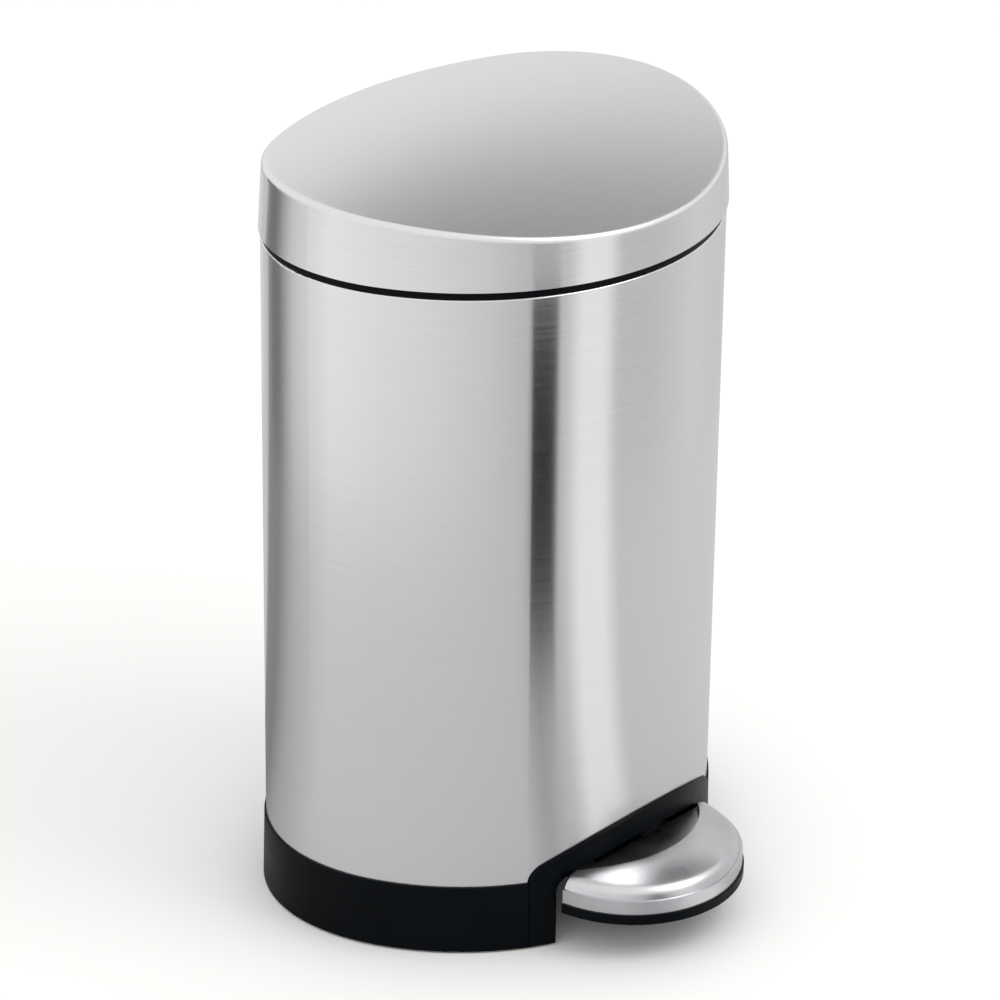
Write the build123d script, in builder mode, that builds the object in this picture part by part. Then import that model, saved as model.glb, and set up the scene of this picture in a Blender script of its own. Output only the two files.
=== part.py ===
"""Semi-round pedal bin: brushed steel body and lid on a black base, with a lever, push rod and bucket inside.

Millimetres, +Z up. The pedal faces -Y, and the origin is on the floor under the middle of the plan.
"""

from build123d import *
from math import cos, radians, sin, sqrt
import os

os.makedirs("parts", exist_ok=True)

# Overall sizes
body_width = 250.0
body_depth = 198.4
pedal_reach = 46.0
body_bottom = 37.1
body_top = 351.9
base_flare = 1.6
base_shoulder = 0.9

# Plan outline of the body: four tangent arcs from the front to the back on each side
front_radius = 1.026 * body_width / 2
front_angle = 66.0
corner_angle = 157.2

# Sheet and moulding thicknesses
sheet = 0.6
moulding = 2.2
hem_width = 3.0
hem_height = 1.6

# Running and fixing clearances
fit = 0.05
gap = 0.3
seat_gap = 0.1

# Lid, with its heights above the body's top and above its own lower edge
lid_clearance = 4.1
lid_height = 38.4
lid_overhang = 1.0
lid_draft = 2.0
lid_edge_radius = 3.3
crown_radius_y = 492.0
crown_radius_x = 2083.0
crown_offset = 15.0
liner_rise = 8.0
liner_rim_rise = 1.4
liner_drop = 3.0

# Collar and bucket
collar_rise = 3.1
ledge_drop = 1.5
collar_spigot_inset = 3.2
ledge_inner_inset = 9.0
bucket_floor_rise = 14.9
bucket_draft = 7.0
bucket_wall = 1.6
bucket_rear_room = 34.5

# Base
base_bottom = 1.2
base_wall = 2.8
pan_drop = 0.1
spigot_height = 13.0
foot_radius = 7.0
front_foot_margin = 41.0
rear_foot_margin = 53.0
foot_recess = 1.8

# Pedal surround
surround_half_width = 68.0
surround_crown = 60.9
surround_arc = 138.2
surround_corner = 10.5
surround_frame = 12.0
surround_head = 12.0
surround_depth = 6.0
throat_inset = 11.0

# Pedal
pedal_radius = 57.1
pad_margin = 0.8
pad_bottom = 21.2
rim_bottom = 26.2
rim_top = 33.8
rim_step = 1.4
pedal_crown = 44.0
scoop_radius = 60.0
scoop_reach = 22.0
scoop_rear_floor = 38.6
scoop_front_floor = 37.4
shoulder_power = 0.77
cap_sheet = 1.0
pedal_rear_trim = 5.6

# Lever and push rod
pivot_setback = 61.5
pivot_height = 18.0
axle_radius = 2.5
lever_sheet = 2.0
lever_width = 36.0
rod_radius = 2.5
roller_radius = 3.0
guide_half_width = 24.0
guide_front = 34.0
guide_rear = 12.0
guide_height = 12.0
screw_radius = 1.5
screw_head_radius = 3.0
tongue_height = 8.2
lever_rear_half_width = 10.0

# Hinge and crank
hinge_setback = 10.9
hinge_rise = 6.0
pin_radius = 2.5
cover_half_width = 60.0
cover_proud = 0.4
crank_radius = 13.5
crank_start = -38.0
crank_pin_radius = 2.0

# Places worked out from the sizes above
half_width = body_width / 2
overall_depth = body_depth + base_flare + pedal_reach
lid_bottom = body_top + lid_clearance
lid_crown = lid_bottom + lid_height
liner_bottom = lid_bottom + liner_rise
liner_rim = lid_bottom + liner_rim_rise
hinge_height = lid_bottom + hinge_rise
collar_top = body_top + collar_rise
collar_ledge = body_top - ledge_drop
bucket_bottom = body_bottom + bucket_floor_rise
pan_top = body_bottom - pan_drop
spigot_top = pan_top + spigot_height
guide_top = pan_top + guide_height
back_y = overall_depth / 2 - base_flare
front_y = back_y - body_depth
side_radius = (half_width - front_radius * sin(radians(front_angle))) / (1 - sin(radians(front_angle)))
front_rise = front_radius * (1 - cos(radians(front_angle))) + side_radius * cos(radians(front_angle))
rear_depth = body_depth - front_rise
corner_sin = sin(radians(corner_angle))
corner_cos = cos(radians(corner_angle))
corner_scale = 1 + corner_cos - corner_sin
corner_radius = (half_width * (1 + corner_cos) - corner_sin * rear_depth) / corner_scale
back_radius = ((1 - corner_sin) * rear_depth + corner_cos * half_width) / corner_scale
widest_y = front_y + front_rise
hinge_y = back_y - hinge_setback
pivot_y = front_y + pivot_setback
crank_y = hinge_y - crank_radius * cos(radians(crank_start))
crank_z = hinge_height + crank_radius * sin(radians(crank_start))
rod_y = crank_y - 0.7
bucket_rear_y = back_y - bucket_rear_room
pedal_centre_y = -overall_depth / 2 + pedal_radius + pad_margin
pedal_rear_y = pedal_centre_y - pedal_rear_trim
crown_y = widest_y + crown_offset


def plan(inset, height, rear_limit=None):
    """Return the body's plan outline at a height, moved in by inset and cut straight at rear_limit."""
    with BuildSketch(Plane.XY.offset(height)) as outline:
        with BuildLine():
            front = JernArc((0, front_y + inset), (1, 0), front_radius - inset, front_angle)
            side = JernArc(front @ 1, front % 1, side_radius - inset, 90 - front_angle)
            corner = JernArc(side @ 1, side % 1, corner_radius - inset, corner_angle - 90)
            JernArc(corner @ 1, corner % 1, back_radius - inset, 180 - corner_angle)
            mirror(about=Plane.YZ)
        make_face()
        if rear_limit is not None:
            with Locations((0, rear_limit - overall_depth)):
                Rectangle(2 * body_width, 2 * overall_depth, mode=Mode.INTERSECT)
    return outline.sketch


def ring(outer_inset, inner_inset, bottom, top):
    """Add a closed wall between two insets and two heights to the current part."""
    with BuildPart(mode=Mode.PRIVATE) as wall:
        extrude(plan(outer_inset, bottom), amount=top - bottom)
        extrude(plan(inner_inset, bottom), amount=top - bottom, mode=Mode.SUBTRACT)
    add(wall.part)


def block(x_from, x_to, y_from, y_to, z_from, z_to, mode=Mode.ADD):
    """Add or cut a block between six plain limits."""
    with Locations(((x_from + x_to) / 2, (y_from + y_to) / 2, (z_from + z_to) / 2)):
        Box(x_to - x_from, y_to - y_from, z_to - z_from, mode=mode)


def crowned_blank(drop, inset):
    """Return a lid blank: the plan outline, drawn in towards the top, under the crown lowered by drop."""
    with BuildPart() as blank:
        crown_axis = Axis((0, 0, lid_crown - crown_radius_x), (0, 1, 0))
        with BuildSketch(Plane.YZ):
            with BuildLine():
                top = lid_crown - drop
                radius = crown_radius_y - drop
                front_end = crown_y - radius * sin(radians(20))
                rear_end = crown_y + radius * sin(radians(20))
                shoulder = top - radius * (1 - cos(radians(20)))
                ThreePointArc((front_end, shoulder), (crown_y, top), (rear_end, shoulder))
                Polyline((rear_end, shoulder), (rear_end, 200), (front_end, 200), (front_end, shoulder))
            make_face()
        revolve(axis=crown_axis, revolution_arc=5)
        mirror(about=Plane.YZ)
        loft([plan(inset, lid_bottom), plan(inset + lid_draft, lid_crown)], mode=Mode.INTERSECT)
    return blank.part


def arched_block(shrink_side, shrink_top, corner, bottom):
    """Return a block through the bin's front with the surround's arched outline, shrunk at sides and top."""
    half = surround_half_width - shrink_side
    crown = surround_crown - shrink_top
    radius = surround_arc - shrink_top
    shoulder = crown - radius + sqrt(radius**2 - half**2)
    with BuildPart() as window:
        with BuildSketch(Plane.XZ.offset(-widest_y)):
            with BuildLine():
                ThreePointArc((-half, shoulder), (0, crown), (half, shoulder))
                Polyline((half, shoulder), (half, bottom), (-half, bottom), (-half, shoulder))
            make_face()
        extrude(amount=widest_y - front_y + 20)
        fillet(window.edges().filter_by(Axis.Y).group_by(Axis.Z)[-1], corner)
    return window.part


def crown_edges(blank):
    """Return the edges round the crown of a lid blank, without the seam along its middle."""
    crown = blank.faces().filter_by(lambda face: face.normal_at(None).Z > 0.8)
    return [edge for face in crown for edge in face.edges() if abs(edge.center().X) > 1]


def save(piece, name):
    """Label a finished piece and write it."""
    piece.part.label = name
    export_step(piece.part, "parts/" + name + ".step")


# Steel body: a wrapped sheet with a turned-in hem at the top and a notch over the pedal
with BuildPart() as body_shell:
    ring(0, sheet, body_bottom, body_top)
    ring(0, hem_width, body_top - hem_height, body_top)
    fillet(body_shell.faces().sort_by(Axis.Z)[-1].outer_wire().edges(), hem_height / 2)
    add(arched_block(-gap, -gap, surround_corner, 0), mode=Mode.SUBTRACT)
save(body_shell, "body_shell")

# Black collar in the top of the body: flange, spigot, bucket ledge and rear deck
with BuildPart() as rim_collar:
    ring(1.0, collar_spigot_inset + moulding, body_top, collar_top)
    ring(collar_spigot_inset, collar_spigot_inset + moulding, body_top - 14, body_top)
    ring(collar_spigot_inset + moulding, ledge_inner_inset, collar_ledge - moulding, collar_ledge)
    deck = plan(ledge_inner_inset - seat_gap, collar_ledge - moulding)
    opening = plan(ledge_inner_inset - seat_gap, collar_ledge - moulding, bucket_rear_y)
    extrude(deck - opening, amount=moulding)
    block(-9, 9, rod_y - 9, rod_y + 8, collar_ledge - 10, collar_ledge + 1, mode=Mode.SUBTRACT)
save(rim_collar, "rim_collar")

# Fixing places on the pan for the rod guide
guide_flange = 8.0
guide_screw_x = guide_half_width + moulding + guide_flange / 2
guide_screw_places = [
    (side * guide_screw_x, rod_y + shift) for side in (-1, 1) for shift in (-guide_front / 2, guide_rear / 2)
]

# Black base: outer wall, spigot inside the steel, pan over the lever space, pivot blocks and foot posts
front_foot_x = half_width - front_foot_margin
rear_foot_x = half_width - rear_foot_margin
foot_places = [
    (-front_foot_x, front_y + 52),
    (front_foot_x, front_y + 52),
    (-rear_foot_x, back_y - 38),
    (rear_foot_x, back_y - 38),
]
pivot_block_x = lever_width / 2 + 3
with BuildPart() as base_moulding:
    loft([plan(-base_flare, base_bottom), plan(-base_shoulder, body_bottom)])
    extrude(
        plan(base_wall - base_flare, base_bottom),
        amount=pan_top - moulding - base_bottom,
        mode=Mode.SUBTRACT,
    )
    ring(sheet + seat_gap, sheet + seat_gap + moulding, pan_top - moulding, spigot_top)
    extrude(plan(sheet + seat_gap + moulding, pan_top), amount=5, mode=Mode.SUBTRACT)
    add(arched_block(-gap, -gap, surround_corner, 0), mode=Mode.SUBTRACT)
    extrude(plan(throat_inset + gap, pan_top - moulding), amount=moulding)
    for side in (-1, 1):
        x_near = side * pivot_block_x
        x_far = side * (pivot_block_x + 8)
        block(min(x_near, x_far), max(x_near, x_far), pivot_y - 9, pivot_y + 9, 9, pan_top - moulding)
    with Locations(*[(x, y, base_bottom) for x, y in foot_places]):
        Cylinder(
            foot_radius + 2.5,
            pan_top - moulding - base_bottom,
            align=(Align.CENTER, Align.CENTER, Align.MIN),
        )
        Cylinder(
            foot_radius + seat_gap,
            foot_recess,
            align=(Align.CENTER, Align.CENTER, Align.MIN),
            mode=Mode.SUBTRACT,
        )
    with Locations(Location((0, pivot_y, pivot_height), (0, 90, 0))):
        Cylinder(axle_radius, 2 * pivot_block_x + 30, mode=Mode.SUBTRACT)
    block(
        -guide_half_width,
        guide_half_width,
        rod_y - guide_front,
        rod_y + guide_rear,
        pan_top - moulding,
        pan_top,
        mode=Mode.SUBTRACT,
    )
    with Locations(*[(x, y, pan_top - moulding) for x, y in guide_screw_places]):
        Cylinder(screw_radius, 2 * moulding, mode=Mode.SUBTRACT)
save(base_moulding, "base_moulding")


def upright(places, radius, bottom, top, mode=Mode.ADD):
    """Add or cut upright cylinders at several plan places between two heights."""
    with Locations(*[(x, y, bottom) for x, y in places]):
        Cylinder(radius, top - bottom, align=(Align.CENTER, Align.CENTER, Align.MIN), mode=mode)


def crosswise(y, z, radius, x_from, x_to, mode=Mode.ADD):
    """Add or cut a cylinder that runs along X between two limits."""
    with Locations(Location(((x_from + x_to) / 2, y, z), (0, 90, 0))):
        Cylinder(radius, x_to - x_from, mode=mode)


def linkage_plate(points, radii, x_from, x_to):
    """Add a plate square to X that wraps circles of the given radii about two places (y, z)."""
    with BuildPart(mode=Mode.PRIVATE) as plate:
        with BuildSketch(Plane.YZ.offset(x_from)):
            for point, radius in zip(points, radii):
                with Locations(point):
                    Circle(radius)
            make_hull()
        extrude(amount=x_to - x_from)
    add(plate.part)


# Rubber feet, pressed into the base's posts
with BuildPart() as rubber_feet:
    upright(foot_places, foot_radius, 0, base_bottom + foot_recess)
    fillet(rubber_feet.edges().group_by(Axis.Z)[0], 0.6)
save(rubber_feet, "rubber_feet")

# Black surround: an arched frame on the front of the body with a throat behind its opening
with BuildPart() as pedal_surround:
    ring(-base_flare, surround_depth - base_flare, base_bottom, surround_crown)
    add(arched_block(0, 0, surround_corner, base_bottom), mode=Mode.INTERSECT)
    add(arched_block(surround_frame, surround_head, surround_corner - 2, 0), mode=Mode.SUBTRACT)
    with BuildPart(mode=Mode.PRIVATE) as throat:
        ring(surround_depth - base_flare, throat_inset, base_bottom, surround_crown)
        add(
            arched_block(surround_frame - moulding, surround_head - moulding, surround_corner, base_bottom),
            mode=Mode.INTERSECT,
        )
        add(arched_block(surround_frame, surround_head, surround_corner - 2, 0), mode=Mode.SUBTRACT)
    add(throat.part)
save(pedal_surround, "pedal_surround")

# Housing over the lever's rear end, with the push rod's guide tube and two screwed flanges
with BuildPart() as rod_guide:
    outer_half = guide_half_width + moulding
    block(-outer_half, outer_half, rod_y - guide_front - moulding, rod_y + guide_rear, pan_top, guide_top)
    block(
        -outer_half - guide_flange,
        outer_half + guide_flange,
        rod_y - guide_front,
        rod_y + guide_rear,
        pan_top,
        pan_top + moulding,
    )
    upright([(0, rod_y)], rod_radius + 3, guide_top, guide_top + 14)
    block(
        -guide_half_width,
        guide_half_width,
        rod_y - guide_front,
        rod_y + guide_rear - moulding,
        pan_top,
        guide_top - moulding,
        mode=Mode.SUBTRACT,
    )
    upright([(0, rod_y)], rod_radius + fit, pan_top, guide_top + 14, mode=Mode.SUBTRACT)
    upright(guide_screw_places, screw_radius, pan_top, pan_top + moulding, mode=Mode.SUBTRACT)
save(rod_guide, "rod_guide")

with BuildPart() as guide_screws:
    upright(guide_screw_places, screw_radius, pan_top - moulding, pan_top + moulding)
    upright(guide_screw_places, screw_head_radius, pan_top + moulding, pan_top + moulding + 1.8)
save(guide_screws, "guide_screws")

# Lift-out bucket with a flat rear wall, hung by its rim on the collar's ledge
bucket_inset = ledge_inner_inset + 2 * gap
bucket_rim_top = collar_ledge + 2.0
with BuildPart() as inner_bucket:
    loft(
        [
            plan(bucket_inset + bucket_draft, bucket_bottom, bucket_rear_y - bucket_draft),
            plan(bucket_inset, bucket_rim_top, bucket_rear_y - 2 * gap),
        ]
    )
    fillet(inner_bucket.edges().group_by(Axis.Z)[0], 5)
    extrude(plan(collar_spigot_inset + moulding + gap, collar_ledge, bucket_rear_y + 2.6), amount=2.0)
    with BuildPart(mode=Mode.PRIVATE) as bucket_space:
        loft(
            [
                plan(
                    bucket_inset + bucket_draft + bucket_wall,
                    bucket_bottom + bucket_wall,
                    bucket_rear_y - bucket_draft - bucket_wall,
                ),
                plan(bucket_inset + bucket_wall, bucket_rim_top, bucket_rear_y - 2 * gap - bucket_wall),
            ]
        )
        fillet(bucket_space.edges().group_by(Axis.Z)[0], 4)
    add(bucket_space.part, mode=Mode.SUBTRACT)
save(inner_bucket, "inner_bucket")

# Hinge bracket: two feet on the rear deck, joined by a strip, with an ear on each
bracket_sheet = 2.0
ear_x = 28.0
ear_radius = 5.0
bracket_front_y = hinge_y - 11
bracket_rear_y = hinge_y + 0.5
rivet_places = [(side * x, hinge_y - 5) for side in (-1, 1) for x in (ear_x - 7, ear_x + 9)]
with BuildPart() as hinge_bracket:
    for side in (-1, 1):
        inner = side * (ear_x - 10)
        outer = side * (ear_x + 12)
        block(
            min(inner, outer),
            max(inner, outer),
            bracket_front_y,
            bracket_rear_y,
            collar_ledge,
            collar_ledge + bracket_sheet,
        )
        near = min(side * ear_x, side * (ear_x + bracket_sheet))
        far = near + bracket_sheet
        block(near, far, hinge_y - ear_radius, bracket_rear_y, collar_ledge, hinge_height)
        crosswise(hinge_y, hinge_height, ear_radius, near, far)
    block(10 - ear_x, ear_x - 10, hinge_y - 2.5, bracket_rear_y, collar_ledge, collar_ledge + bracket_sheet)
    crosswise(hinge_y, hinge_height, pin_radius, -ear_x - 5, ear_x + 5, mode=Mode.SUBTRACT)
    upright(rivet_places, 2, collar_ledge, collar_ledge + bracket_sheet, mode=Mode.SUBTRACT)
save(hinge_bracket, "hinge_bracket")

with BuildPart() as bracket_rivets:
    upright(rivet_places, 2, collar_ledge, collar_ledge + bracket_sheet)
    upright(rivet_places, 3.2, collar_ledge + bracket_sheet, collar_ledge + bracket_sheet + 1.2)
save(bracket_rivets, "bracket_rivets")

pin_half_length = ear_x + bracket_sheet + 3.5
with BuildPart() as hinge_pin:
    crosswise(hinge_y, hinge_height, pin_radius, -pin_half_length, pin_half_length)
    chamfer(hinge_pin.edges().filter_by(GeomType.CIRCLE), 0.5)
save(hinge_pin, "hinge_pin")

with BuildPart() as pin_clips:
    for side in (-1, 1):
        near = side * (ear_x + bracket_sheet + seat_gap)
        far = near + side
        crosswise(hinge_y, hinge_height, pin_radius + 2, min(near, far), max(near, far))
    crosswise(hinge_y, hinge_height, pin_radius, -pin_half_length, pin_half_length, mode=Mode.SUBTRACT)
save(pin_clips, "pin_clips")

# Fixed panel that closes the notch in the lid's rear skirt
cover_top = hinge_height + 11.4
notch_top = cover_top + 1.1
with BuildPart() as hinge_cover:
    ring(-cover_proud, moulding - cover_proud, collar_top, cover_top)
    ring(-cover_proud, 5.0, cover_top - moulding, cover_top)
    block(
        -cover_half_width,
        cover_half_width,
        hinge_y - 1,
        back_y + 5,
        collar_top,
        cover_top,
        mode=Mode.INTERSECT,
    )
save(hinge_cover, "hinge_cover")

# Rubber pads on the collar that the closed lid rests on
with BuildPart() as lid_bumpers:
    pad_inset = 2.6
    pad_places = [
        (0, front_y + pad_inset, 8, 1.8),
        (half_width - pad_inset, widest_y, 1.8, 8),
        (pad_inset - half_width, widest_y, 1.8, 8),
    ]
    for x, y, width, depth in pad_places:
        with Locations((x, y, collar_top)):
            Box(
                width,
                depth,
                liner_rim - collar_top - seat_gap,
                align=(Align.CENTER, Align.CENTER, Align.MIN),
            )
save(lid_bumpers, "lid_bumpers")

# Lid: drawn steel crown and skirt with a turned-in lower edge, notched at the rear
notch_half_width = cover_half_width + 0.5
with BuildPart() as lid_shell:
    add(crowned_blank(0, -lid_overhang))
    fillet(crown_edges(lid_shell), lid_edge_radius)
    with BuildPart(mode=Mode.PRIVATE) as lid_space:
        add(crowned_blank(sheet, sheet - lid_overhang))
        fillet(crown_edges(lid_space), lid_edge_radius - sheet)
    add(lid_space.part, mode=Mode.SUBTRACT)
    ring(sheet - lid_overhang, 1.2, lid_bottom, lid_bottom + 0.8)
    block(
        -notch_half_width,
        notch_half_width,
        hinge_y,
        back_y + 5,
        lid_bottom,
        notch_top,
        mode=Mode.SUBTRACT,
    )
save(lid_shell, "lid_shell")

# Black liner under the lid: a rim wall and a plate, open over the hinge
arm_room_y = bucket_rear_y
liner_inset = sheet - lid_overhang + seat_gap
with BuildPart() as lid_liner:
    add(crowned_blank(liner_drop, liner_inset))
    with BuildPart(mode=Mode.PRIVATE) as liner_space:
        loft([plan(liner_inset + moulding, lid_bottom), plan(liner_inset + moulding + lid_draft, lid_crown)])
    add(liner_space.part, mode=Mode.SUBTRACT)
    extrude(plan(liner_inset + moulding / 2, liner_bottom), amount=moulding)
    block(-half_width - 5, half_width + 5, front_y - 5, back_y + 5, lid_bottom, liner_rim, mode=Mode.SUBTRACT)
    block(
        -notch_half_width - 4,
        notch_half_width + 4,
        arm_room_y,
        back_y + 5,
        lid_bottom,
        lid_crown,
        mode=Mode.SUBTRACT,
    )
save(lid_liner, "lid_liner")

# Lid arm: a plate screwed to the liner, two hinge ears and the crank between them
arm_sheet = 2.5
arm_x = ear_x - gap - arm_sheet
arm_plate_y = arm_room_y - 12
crank_half = 1.5
arm_screw_places = [(side * 16, arm_plate_y + shift) for side in (-1, 1) for shift in (-6, 6)]
arm_bottom = liner_bottom + moulding
with BuildPart() as lid_arm:
    block(
        -arm_x - arm_sheet,
        arm_x + arm_sheet,
        arm_plate_y - 11,
        arm_room_y + 2,
        arm_bottom,
        arm_bottom + arm_sheet,
    )
    front_end = (arm_room_y + 2, arm_bottom + 1.5)
    for start in (-arm_x - arm_sheet, arm_x):
        linkage_plate([(hinge_y, hinge_height), front_end], [4.5, 1.4], start, start + arm_sheet)
    linkage_plate([(hinge_y, hinge_height), front_end], [4.5, 1.4], -crank_half, crank_half)
    linkage_plate([(hinge_y, hinge_height), (crank_y, crank_z)], [4.5, 3.5], -crank_half, crank_half)
    crosswise(hinge_y, hinge_height, pin_radius + fit, -ear_x, ear_x, mode=Mode.SUBTRACT)
    crosswise(crank_y, crank_z, crank_pin_radius, -crank_half, crank_half, mode=Mode.SUBTRACT)
    upright(arm_screw_places, screw_radius, arm_bottom, arm_bottom + arm_sheet, mode=Mode.SUBTRACT)
save(lid_arm, "lid_arm")

with BuildPart() as crank_pin:
    crosswise(crank_y, crank_z, crank_pin_radius, -6.5, 6.5)
save(crank_pin, "crank_pin")

with BuildPart() as lid_screws:
    upright(arm_screw_places, screw_radius, arm_bottom, arm_bottom + arm_sheet)
    upright(arm_screw_places, screw_head_radius, arm_bottom + arm_sheet, arm_bottom + arm_sheet + 1.8)
save(lid_screws, "lid_screws")

# Push rod with a flat foot below and a slotted yoke above
foot_bottom = pivot_height + roller_radius + gap
foot_top = foot_bottom + 3
yoke_y = hinge_y - crank_radius * (1 + cos(radians(crank_start))) / 2
yoke_half_depth = 6.5
yoke_bottom = crank_z - 17.5
slot_height = 2 * crank_pin_radius + 0.8
slot_length = crank_radius * (1 - cos(radians(crank_start))) + 2 * crank_pin_radius + 0.8
cheek_gap = 3.3
cheek_sheet = 2.0
with BuildPart() as push_rod:
    upright([(0, rod_y)], rod_radius, foot_top, yoke_bottom + 5)
save(push_rod, "push_rod")

with BuildPart() as rod_foot:
    upright([(0, rod_y)], 6, foot_bottom, foot_top)
    upright([(0, rod_y)], 4.2, foot_top, foot_top + 5)
    upright([(0, rod_y)], rod_radius, foot_top, foot_top + 5, mode=Mode.SUBTRACT)
save(rod_foot, "rod_foot")

with BuildPart() as rod_yoke:
    cheek = cheek_gap + cheek_sheet
    block(-cheek, cheek, yoke_y - yoke_half_depth, yoke_y + yoke_half_depth, yoke_bottom, crank_z + 6)
    block(
        -cheek_gap,
        cheek_gap,
        yoke_y - yoke_half_depth,
        yoke_y + yoke_half_depth,
        yoke_bottom + 6,
        crank_z + 6,
        mode=Mode.SUBTRACT,
    )
    block(
        -cheek,
        cheek,
        yoke_y - slot_length / 2,
        yoke_y + slot_length / 2,
        crank_z - slot_height / 2,
        crank_z + slot_height / 2,
        mode=Mode.SUBTRACT,
    )
    upright([(0, rod_y)], rod_radius, yoke_bottom, yoke_bottom + 5, mode=Mode.SUBTRACT)
save(rod_yoke, "rod_yoke")

# Lever: front channel with a tongue under the pedal, pivot ears and a narrow rear arm
channel_half = lever_width / 2
tongue_top = pivot_height + tongue_height + lever_sheet
tongue_bottom = tongue_top - lever_sheet
channel_bottom = pivot_height - 6
web_y = pivot_y + 8
arm_top = pivot_height + 4
arm_half = lever_rear_half_width
with BuildPart() as pedal_lever:
    block(-channel_half, channel_half, pedal_centre_y - 37, web_y + lever_sheet, tongue_bottom, tongue_top)
    for side in (-1, 1):
        outer = side * channel_half
        inner = side * (channel_half - lever_sheet)
        block(
            min(outer, inner),
            max(outer, inner),
            pedal_rear_y + 4,
            web_y + lever_sheet,
            channel_bottom,
            tongue_top,
        )
        outer = side * arm_half
        inner = side * (arm_half - lever_sheet)
        block(min(outer, inner), max(outer, inner), web_y, rod_y + 4, arm_top - 8, arm_top)
    block(-channel_half, channel_half, web_y, web_y + lever_sheet, channel_bottom, tongue_top)
    block(-arm_half, arm_half, web_y, rod_y - 14, arm_top - lever_sheet, arm_top)
    crosswise(pivot_y, pivot_height, axle_radius + fit, -channel_half, channel_half, mode=Mode.SUBTRACT)
    crosswise(rod_y, pivot_height, 1.5, -arm_half, arm_half, mode=Mode.SUBTRACT)
    rivet_spots = [(-10, pedal_centre_y - 20), (10, pedal_centre_y - 20)]
    upright(rivet_spots, 2.5, tongue_bottom, tongue_top, mode=Mode.SUBTRACT)
save(pedal_lever, "pedal_lever")

with BuildPart() as lever_bushes:
    for side in (-1, 1):
        near = side * channel_half
        far = side * (pivot_block_x - gap)
        crosswise(pivot_y, pivot_height, axle_radius + 2, min(near, far), max(near, far))
    crosswise(pivot_y, pivot_height, axle_radius + fit, -pivot_block_x, pivot_block_x, mode=Mode.SUBTRACT)
save(lever_bushes, "lever_bushes")

with BuildPart() as lever_roller:
    crosswise(rod_y, pivot_height, roller_radius, 2.2 - arm_half, arm_half - 2.2)
    crosswise(rod_y, pivot_height, 1.5, -arm_half, arm_half)
save(lever_roller, "lever_roller")

axle_half_length = pivot_block_x + 8 + 3
with BuildPart() as lever_axle:
    crosswise(pivot_y, pivot_height, axle_radius, -axle_half_length, axle_half_length)
save(lever_axle, "lever_axle")

with BuildPart() as axle_clips:
    for side in (-1, 1):
        near = side * (pivot_block_x + 8 + seat_gap)
        far = near + side
        crosswise(pivot_y, pivot_height, axle_radius + 2, min(near, far), max(near, far))
    crosswise(pivot_y, pivot_height, axle_radius, -axle_half_length, axle_half_length, mode=Mode.SUBTRACT)
save(axle_clips, "axle_clips")


def half_moon(radius, bottom, top, rear):
    """Return a half-moon slab about the pedal's centre, cut straight at the rear."""
    with BuildPart() as slab:
        with BuildSketch(Plane.XY.offset(bottom)):
            with Locations((0, pedal_centre_y)):
                Circle(radius)
            with Locations((0, rear - overall_depth)):
                Rectangle(2 * body_width, 2 * overall_depth, mode=Mode.INTERSECT)
        extrude(amount=top - bottom)
    return slab.part


def pedal_form(shrink):
    """Return the pedal cap's outer form, or the same form shrunk all round by the sheet."""
    edge = pedal_radius - rim_step - shrink
    base = rim_top - shrink
    rise = pedal_crown - rim_top
    places = [(0, base + rise)]
    for turn in (60, 30, 0):
        reach = edge * cos(radians(turn)) ** shoulder_power
        places.append((reach, base + rise * sin(radians(turn)) ** shoulder_power))
    with BuildPart() as dome:
        with BuildSketch(Plane.YZ):
            with BuildLine():
                crown = TangentArc(places[0], places[1], tangent=(1, 0))
                shoulder = TangentArc(places[1], places[2], tangent=crown % 1)
                TangentArc(places[2], places[3], tangent=shoulder % 1)
                Polyline(places[3], (0, base), places[0])
            make_face()
        revolve(axis=Axis.Z)
    front = pedal_rear_y - scoop_reach - shrink
    top = pedal_crown + 10
    with BuildPart() as scoop:
        with BuildSketch(Plane.YZ):
            with BuildLine():
                Polyline(
                    (pedal_rear_y, scoop_rear_floor - shrink),
                    (front, scoop_front_floor - shrink),
                    (front, top),
                    (pedal_rear_y, top),
                    close=True,
                )
            make_face()
        extrude(amount=pedal_radius, both=True)
        with BuildSketch(Plane.XY.offset(rim_bottom)):
            with Locations((0, pedal_rear_y - scoop_reach + scoop_radius)):
                Circle(scoop_radius + shrink)
        extrude(amount=top - rim_bottom, mode=Mode.INTERSECT)
    with BuildPart() as cap:
        add(dome.part.moved(Location((0, pedal_centre_y, 0))))
        add(half_moon(pedal_radius, rim_bottom, pedal_crown, pedal_rear_y - shrink), mode=Mode.INTERSECT)
        add(scoop.part, mode=Mode.SUBTRACT)
        add(half_moon(pedal_radius - shrink, rim_bottom, base, pedal_rear_y - shrink))
    return cap.part


# Pedal: a domed steel cap with a scooped rear, on a black pad
with BuildPart() as pedal_cap:
    add(pedal_form(0))
    add(pedal_form(cap_sheet), mode=Mode.SUBTRACT)
    block(
        -channel_half - seat_gap,
        channel_half + seat_gap,
        pedal_rear_y - 5,
        pedal_rear_y + 1,
        rim_bottom,
        tongue_top + seat_gap,
        mode=Mode.SUBTRACT,
    )
save(pedal_cap, "pedal_cap")

with BuildPart() as pedal_pad:
    add(half_moon(pedal_radius + pad_margin, pad_bottom, rim_bottom, pedal_rear_y))
    upright(rivet_spots, 2.5, rim_bottom - 3, rim_bottom, mode=Mode.SUBTRACT)
save(pedal_pad, "pedal_pad")

with BuildPart() as pedal_rivets:
    upright(rivet_spots, 2.5, rim_bottom - 3, tongue_top)
    upright(rivet_spots, 4.2, tongue_top, tongue_top + 1.4)
save(pedal_rivets, "pedal_rivets")
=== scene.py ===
"""Semi-round pedal bin in brushed steel: finishes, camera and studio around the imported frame.

Metres, +Z up. The pedal faces -Y and the floor is z = 0.
"""

import math

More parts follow.
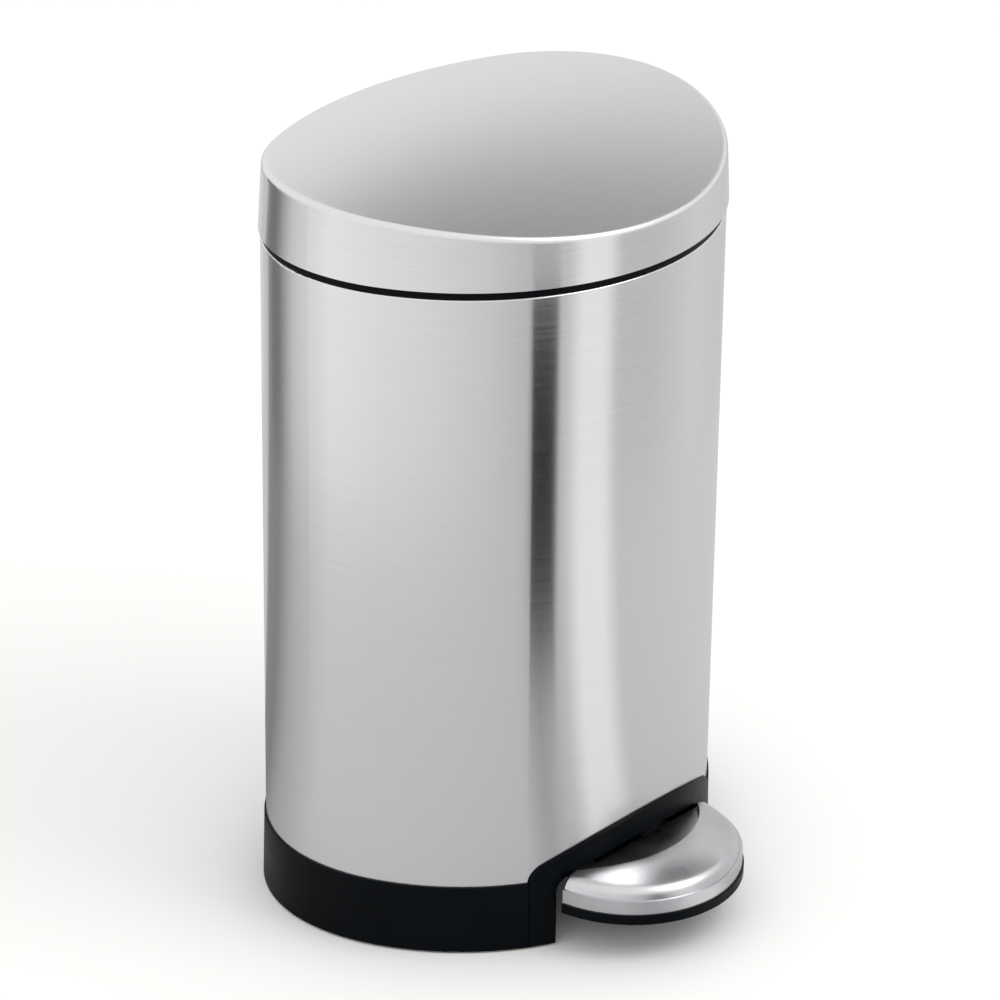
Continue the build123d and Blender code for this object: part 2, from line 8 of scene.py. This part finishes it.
import bpy
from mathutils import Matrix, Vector

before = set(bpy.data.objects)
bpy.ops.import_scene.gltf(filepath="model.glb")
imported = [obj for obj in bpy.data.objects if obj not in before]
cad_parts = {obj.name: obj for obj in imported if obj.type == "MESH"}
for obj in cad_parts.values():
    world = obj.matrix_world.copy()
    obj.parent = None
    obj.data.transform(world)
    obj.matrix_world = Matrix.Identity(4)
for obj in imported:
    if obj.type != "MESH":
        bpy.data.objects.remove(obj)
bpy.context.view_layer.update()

MM = 0.001

# Camera, as fitted to the photograph's edges: it looks down on the bin from its left front corner
CAMERA_AZIMUTH = -48.28
CAMERA_ELEVATION = 25.9
CAMERA_ROLL = 0.775
CAMERA_DISTANCE = 2378 * MM
CAMERA_SIDE_SHIFT = 7.1 * MM
CAMERA_LENS = 171.1
CAMERA_SENSOR = 36
TARGET_DEPTH = 34.5 * MM
TARGET_HEIGHT = 192.75 * MM

# Brush marks on the steel are about 0.1 mm apart in reality and drawn wider so that they show
LINE_WIDTH = 0.35 * MM
SHEET_LINE_LENGTH = 45 * MM
CROWN_LINE_LENGTH = 30 * MM

# Patches over which a surface's colour and gloss drift
METAL_PATCH = 18 * MM
PLASTIC_PATCH = 25 * MM

# Studio floor and the curved wall round the bin
FLOOR_SIZE = 12.0
FLOOR_GREY = "#fbfaf8"
WALL_RADIUS = 0.6
WALL_HEIGHT = 0.42
WALL_HALF_TURN = 170
WALL_STEPS = 120

# Greys of the wall by azimuth in degrees, 0 in front of the pedal and positive towards +X
WALL_GRADES = [
    (-158, "#7c7c7e"),
    (-140, "#d8d8da"),
    (-110, "#ffffff"),
    (-88, "#f8f8f9"),
    (-62, "#ededee"),
    (-40, "#dededf"),
    (-27, "#cfcfd0"),
    (-7, "#cfcfd0"),
    (0, "#fbfbfb"),
    (11, "#fbfbfb"),
    (17, "#cecece"),
    (34, "#cfcfd0"),
    (64, "#e2e2e3"),
    (100, "#d2d2d3"),
    (140, "#e0e0e1"),
]

# Greys of the floor by azimuth, for every ray but the camera's: painted shade, with a painted dark band near
# -18, that darkens the floor's reflection in the steel
FLOOR_PAINTED_SHADE_GRADES = [
    (-158, "#909092"),
    (-140, "#b8b8ba"),
    (-110, "#d0d0d1"),
    (-62, "#cacacb"),
    (-27, "#c4c4c5"),
    (-18, "#aaaaac"),
    (-7, "#c4c4c5"),
    (0, "#ececec"),
    (11, "#ececec"),
    (19, "#cacacb"),
    (64, "#d0d0d1"),
    (140, "#cccccd"),
]


def linear(hex_code):
    """Turn an sRGB hex colour into linear RGBA."""
    channels = [int(hex_code[i : i + 2], 16) / 255 for i in (1, 3, 5)]
    decoded = [c / 12.92 if c <= 0.04045 else ((c + 0.055) / 1.055) ** 2.4 for c in channels]
    return (*decoded, 1.0)


def add_node(tree, kind, settings=None, inputs=None):
    """Add a node, set its properties, and set or link its inputs. A linked input is given as a socket."""
    node = tree.nodes.new(kind)
    for name, value in (settings or {}).items():
        setattr(node, name, value)
    for name, value in (inputs or {}).items():
        if isinstance(value, bpy.types.NodeSocket):
            tree.links.new(value, node.inputs[name])
        else:
            node.inputs[name].default_value = value
    return node


def new_material(name):
    """Make an empty material and return it with its tree."""
    material = bpy.data.materials.new(name)
    material.use_nodes = True
    material.node_tree.nodes.clear()
    return material, material.node_tree


def finish_material(tree, shader):
    """Link a shader's output to the material's surface."""
    add_node(tree, "ShaderNodeOutputMaterial", inputs={"Surface": shader.outputs[0]})


def ramp(tree, factor, stops):
    """Add a colour ramp with the given stops, each a place and a hex colour."""
    node = add_node(tree, "ShaderNodeValToRGB", inputs={"Fac": factor})
    elements = node.color_ramp.elements
    while len(elements) < len(stops):
        elements.new(0.5)
    for element, (place, colour) in zip(elements, stops):
        element.position = place
        element.color = linear(colour)
    return node.outputs["Color"]


def brush_lines(tree, line_length, axis):
    """Add noise drawn out into brush lines, which lie square to an axis: 0 for X, 1 for Y and 2 for Z."""
    scale = [1 / line_length, 1 / line_length, 1 / line_length]
    scale[axis] = 1 / LINE_WIDTH
    place = add_node(tree, "ShaderNodeTexCoord").outputs["Object"]
    stretched = add_node(tree, "ShaderNodeMapping", inputs={"Vector": place, "Scale": scale})
    noise = add_node(
        tree,
        "ShaderNodeTexNoise",
        inputs={"Vector": stretched.outputs["Vector"], "Scale": 1.0, "Detail": 3.0, "Roughness": 0.6},
    )
    return noise.outputs["Fac"]


def wide_noise(tree, size, detail=2.0):
    """Add soft round noise whose patches are about size across."""
    place = add_node(tree, "ShaderNodeTexCoord").outputs["Object"]
    noise = add_node(
        tree,
        "ShaderNodeTexNoise",
        inputs={"Vector": place, "Scale": 1 / size, "Detail": detail, "Roughness": 0.55},
    )
    return noise.outputs["Fac"]


def varied_gloss(tree, pattern, spread, low, high):
    """Give roughness between low and high as a pattern moves by spread either side of its middle."""
    gloss = add_node(
        tree,
        "ShaderNodeMapRange",
        inputs={
            "Value": pattern,
            "From Min": 0.5 - spread,
            "From Max": 0.5 + spread,
            "To Min": low,
            "To Max": high,
        },
    )
    return gloss.outputs["Result"]


def fine_relief(tree, pattern, strength, depth):
    """Give a normal that raises a pattern by a small depth."""
    relief = add_node(
        tree,
        "ShaderNodeBump",
        inputs={"Height": pattern, "Strength": strength, "Distance": depth},
    )
    return relief.outputs["Normal"]


def brushed_shader(tree, lines, base, light, roughness, anisotropy):
    """Add a steel shader whose gloss and relief follow brush lines that run level round the Z axis."""
    tangent = add_node(tree, "ShaderNodeTangent", {"direction_type": "RADIAL", "axis": "Z"})
    return add_node(
        tree,
        "ShaderNodeBsdfPrincipled",
        inputs={
            "Base Color": ramp(tree, lines, [(0.3, base), (0.7, light)]),
            "Metallic": 1.0,
            "Roughness": varied_gloss(tree, lines, 0.25, roughness - 0.02, roughness + 0.03),
            "Anisotropic": anisotropy,
            "Anisotropic Rotation": 0.25,
            "Tangent": tangent.outputs["Tangent"],
            "Normal": fine_relief(tree, lines, 0.05, 0.02 * MM),
        },
    )


def brushed_body_steel():
    """Brushed stainless steel sheet: fine level lines spread the reflections up and down the wall."""
    material, tree = new_material("brushed_body_steel")
    lines = brush_lines(tree, SHEET_LINE_LENGTH, 2)
    finish_material(tree, brushed_shader(tree, lines, "#dfdfe0", "#e5e5e6", 0.16, 0.95))
    return material


def brushed_lid_steel():
    """Brushed stainless steel lid: level lines on the skirt and a fine even satin along X on the crown."""
    material, tree = new_material("brushed_lid_steel")
    side_lines = brush_lines(tree, SHEET_LINE_LENGTH, 2)
    side = brushed_shader(tree, side_lines, "#dfdfe0", "#e5e5e6", 0.16, 0.95)
    crown_lines = brush_lines(tree, CROWN_LINE_LENGTH, 1)
    crown = brushed_shader(tree, crown_lines, "#dedee0", "#e5e5e6", 0.36, 0.0)
    normal = add_node(tree, "ShaderNodeNewGeometry").outputs["Normal"]
    upward = add_node(tree, "ShaderNodeSeparateXYZ", inputs={"Vector": normal}).outputs["Z"]
    share = add_node(
        tree,
        "ShaderNodeMapRange",
        inputs={"Value": upward, "From Min": 0.3, "From Max": 0.9, "To Min": 0.0, "To Max": 1.0},
    )
    blend = add_node(tree, "ShaderNodeMixShader", inputs={"Fac": share.outputs["Result"]})
    tree.links.new(side.outputs[0], blend.inputs[1])
    tree.links.new(crown.outputs[0], blend.inputs[2])
    finish_material(tree, blend)
    return material


def satin_metal(name, base, light, roughness, grain):
    """Plain metal with a fine satin grain and slight patches in its gloss."""
    material, tree = new_material(name)
    patches = wide_noise(tree, METAL_PATCH)
    shader = add_node(
        tree,
        "ShaderNodeBsdfPrincipled",
        inputs={
            "Base Color": ramp(tree, patches, [(0.3, base), (0.7, light)]),
            "Metallic": 1.0,
            "Roughness": varied_gloss(tree, patches, 0.2, roughness - 0.04, roughness + 0.04),
            "Normal": fine_relief(tree, wide_noise(tree, grain), 0.08, 0.02 * MM),
        },
    )
    finish_material(tree, shader)
    return material


def moulded_plastic(name, base, light, roughness, specular, grain):
    """Moulded plastic or rubber: a fine spark-eroded grain and slight patches in its gloss."""
    material, tree = new_material(name)
    patches = wide_noise(tree, PLASTIC_PATCH)
    grains = wide_noise(tree, grain, detail=4.0)
    shader = add_node(
        tree,
        "ShaderNodeBsdfPrincipled",
        inputs={
            "Base Color": ramp(tree, patches, [(0.3, base), (0.75, light)]),
            "Roughness": varied_gloss(tree, patches, 0.2, roughness - 0.05, roughness + 0.05),
            "Specular IOR Level": specular,
            "Normal": fine_relief(tree, grains, 0.15, 0.03 * MM),
        },
    )
    finish_material(tree, shader)
    return material


def assign(material, *nodes):
    """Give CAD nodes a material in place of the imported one."""
    for name in nodes:
        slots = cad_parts[name].data.materials
        slots.clear()
        slots.append(material)


BODY_STEEL = brushed_body_steel()
LID_STEEL = brushed_lid_steel()

# Pressed stainless steel, tumbled to a satin that keeps soft bright highlights
PEDAL_STEEL = satin_metal("satin_pedal_steel", "#d2d2d4", "#dadadc", 0.30, 0.5 * MM)

# Zinc-plated steel for the linkage: a bluish, duller grey than the stainless sheet
ZINC_STEEL = satin_metal("zinc_plated_steel", "#b4b6b8", "#c4c5c6", 0.35, 0.6 * MM)

# Injection-moulded polypropylene, nearly black with a cool sheen
BLACK_PLASTIC = moulded_plastic("black_moulded_plastic", "#02060a", "#04090e", 0.36, 0.08, 0.5 * MM)

# Injection-moulded polypropylene of the bucket, a coarser and greyer black
BUCKET_PLASTIC = moulded_plastic("dark_bucket_plastic", "#1b1d1f", "#222426", 0.45, 0.4, 0.7 * MM)

# Undyed nylon of the bushes, roller and rod ends: a warm off-white
NYLON = moulded_plastic("natural_nylon", "#d6d3c8", "#e0ddd3", 0.45, 0.45, 0.6 * MM)

# Moulded rubber of the feet and bumpers: matt and dark
RUBBER = moulded_plastic("black_rubber", "#101010", "#161616", 0.7, 0.3, 0.4 * MM)

assign(BODY_STEEL, "body_shell")
assign(LID_STEEL, "lid_shell")
assign(PEDAL_STEEL, "pedal_cap")
assign(
    BLACK_PLASTIC,
    "rim_collar",
    "base_moulding",
    "pedal_surround",
    "hinge_cover",
    "rod_guide",
    "pedal_pad",
    "lid_liner",
)
assign(BUCKET_PLASTIC, "inner_bucket")
assign(NYLON, "lever_bushes", "lever_roller", "rod_foot", "rod_yoke")
assign(RUBBER, "rubber_feet", "lid_bumpers")
assign(
    ZINC_STEEL,
    "hinge_bracket",
    "bracket_rivets",
    "hinge_pin",
    "pin_clips",
    "lever_axle",
    "axle_clips",
    "guide_screws",
    "pedal_lever",
    "pedal_rivets",
    "push_rod",
    "lid_arm",
    "crank_pin",
    "lid_screws",
)


def stage_mesh(name, corners, faces, material):
    """Make a staged object from corners and faces."""
    mesh = bpy.data.meshes.new(name)
    mesh.from_pydata(corners, [], faces)
    mesh.materials.append(material)
    staged = bpy.data.objects.new(name, mesh)
    bpy.context.collection.objects.link(staged)
    return staged


def make_plane(name, width, height, material):
    """Make a flat rectangle about its own origin, facing +Z."""
    half_w = width / 2
    half_h = height / 2
    corners = [(-half_w, -half_h, 0), (half_w, -half_h, 0), (half_w, half_h, 0), (-half_w, half_h, 0)]
    return stage_mesh(name, corners, [(0, 1, 2, 3)], material)


def show_in_gloss_only(staged):
    """Hide a staged object from everything but reflections."""
    staged.visible_camera = False
    staged.visible_diffuse = False
    staged.visible_shadow = False
    staged.visible_transmission = False


def face_front(staged):
    """Stand a staged object round the middle of the bin, with its own +X towards the pedal."""
    staged.location = (0, TARGET_DEPTH, 0)
    staged.rotation_euler = (0, 0, math.radians(-90))


def by_azimuth(tree, stops):
    """Grade a surface round its own Z axis by stops of azimuth in degrees and hex colour. Its +X is at 0."""
    place = add_node(tree, "ShaderNodeTexCoord").outputs["Object"]
    angle = add_node(tree, "ShaderNodeTexGradient", {"gradient_type": "RADIAL"}, {"Vector": place})
    places = [(azimuth / 360 + 0.5, colour) for azimuth, colour in stops]
    return ramp(tree, angle.outputs["Fac"], places)


def make_floor():
    """Make the studio floor, white with a soft shadow to the camera and a graded grey of painted shade to
    the steel.
    """
    material, tree = new_material("white_studio_floor")
    # Every ray but the camera's sees painted shade: the floor greys by azimuth, which darkens its reflection
    # in the steel
    seen = add_node(tree, "ShaderNodeLightPath").outputs["Is Camera Ray"]
    colour = add_node(
        tree,
        "ShaderNodeMix",
        {"data_type": "RGBA"},
        {"Factor": seen, "A": by_azimuth(tree, FLOOR_PAINTED_SHADE_GRADES), "B": linear(FLOOR_GREY)},
    )
    shader = add_node(
        tree,
        "ShaderNodeBsdfDiffuse",
        inputs={"Color": colour.outputs["Result"], "Roughness": 0.0},
    )
    finish_material(tree, shader)
    floor = make_plane("studio_floor", FLOOR_SIZE, FLOOR_SIZE, material)
    face_front(floor)


def make_wall():
    """Stand a curved grey wall round the bin, seen in gloss only, whose grey changes with its azimuth."""
    material, tree = new_material("graded_studio_wall")
    shader = add_node(
        tree,
        "ShaderNodeEmission",
        inputs={"Color": by_azimuth(tree, WALL_GRADES), "Strength": 1.0},
    )
    finish_material(tree, shader)
    corners = []
    for step in range(WALL_STEPS + 1):
        turn = math.radians(-WALL_HALF_TURN + 2 * WALL_HALF_TURN * step / WALL_STEPS)
        for height in (0, WALL_HEIGHT):
            corners.append((WALL_RADIUS * math.cos(turn), WALL_RADIUS * math.sin(turn), height))
    faces = [(2 * step, 2 * step + 2, 2 * step + 3, 2 * step + 1) for step in range(WALL_STEPS)]
    wall = stage_mesh("studio_wall", corners, faces, material)
    face_front(wall)
    show_in_gloss_only(wall)


def make_card(name, grey, azimuth, distance, width, bottom, height, lean=0.0):
    """Stand a card by the bin, seen in gloss only. Azimuth 0 faces the pedal and lean tips it over."""
    material, tree = new_material(name + "_grey")
    shader = add_node(tree, "ShaderNodeEmission", inputs={"Color": linear(grey), "Strength": 1.0})
    finish_material(tree, shader)
    card = make_plane(name, width, height, material)
    turn = math.radians(azimuth)
    card.location = (
        distance * math.sin(turn),
        TARGET_DEPTH - distance * math.cos(turn),
        bottom + height / 2,
    )
    card.rotation_euler = (math.radians(90 - lean), 0, turn)
    show_in_gloss_only(card)


def make_world():
    """Make the world plain white."""
    world = bpy.data.worlds.new("white_studio")
    world.use_nodes = True
    tree = world.node_tree
    tree.nodes.clear()
    background = add_node(
        tree,
        "ShaderNodeBackground",
        inputs={"Color": linear("#ffffff"), "Strength": 1.0},
    )
    add_node(tree, "ShaderNodeOutputWorld", inputs={"Surface": background.outputs["Background"]})
    bpy.context.scene.world = world


def make_lamp(name, place, size, power):
    """Hang a soft square lamp that points at the middle of the bin."""
    lamp = bpy.data.lights.new(name, "AREA")
    lamp.size = size
    lamp.energy = power
    hung = bpy.data.objects.new(name, lamp)
    hung.location = place
    aim = Vector((0, TARGET_DEPTH, TARGET_HEIGHT)) - Vector(place)
    hung.rotation_euler = aim.to_track_quat("-Z", "Y").to_euler()
    hung.visible_camera = False
    bpy.context.collection.objects.link(hung)


def make_camera():
    """Make the camera at the photograph's place, with its slight roll."""
    azimuth = math.radians(CAMERA_AZIMUTH)
    elevation = math.radians(CAMERA_ELEVATION)
    roll = math.radians(CAMERA_ROLL)
    right = Vector((math.cos(azimuth), math.sin(azimuth), 0))
    back = Vector(
        (
            math.sin(azimuth) * math.cos(elevation),
            -math.cos(azimuth) * math.cos(elevation),
            math.sin(elevation),
        )
    )
    up = back.cross(right)
    rolled_right = math.cos(roll) * right + math.sin(roll) * up
    rolled_up = math.cos(roll) * up - math.sin(roll) * right
    target = Vector((0, TARGET_DEPTH, TARGET_HEIGHT))
    data = bpy.data.cameras.new("photograph_camera")
    data.lens = CAMERA_LENS
    data.sensor_width = CAMERA_SENSOR
    camera = bpy.data.objects.new("photograph_camera", data)
    place = target + right * CAMERA_SIDE_SHIFT + back * CAMERA_DISTANCE
    matrix = camera.matrix_world.copy()
    for row in range(3):
        matrix[row][0] = rolled_right[row]
        matrix[row][1] = rolled_up[row]
        matrix[row][2] = back[row]
        matrix[row][3] = place[row]
    camera.matrix_world = matrix
    bpy.context.collection.objects.link(camera)
    bpy.context.scene.camera = camera


make_floor()
make_world()
make_wall()
make_card("front_dark_card", "#020203", -17.5, 0.42, 0.080, 0.0, 0.245)
make_card("overhead_grey_card", "#78787a", 108, 0.95, 1.5, 1.12, 1.3, lean=50)
make_lamp("overhead_softbox", (0.5, -1.1, 1.7), 1.0, 8.0)
make_camera()
bpy.context.scene.view_settings.view_transform = "Standard"
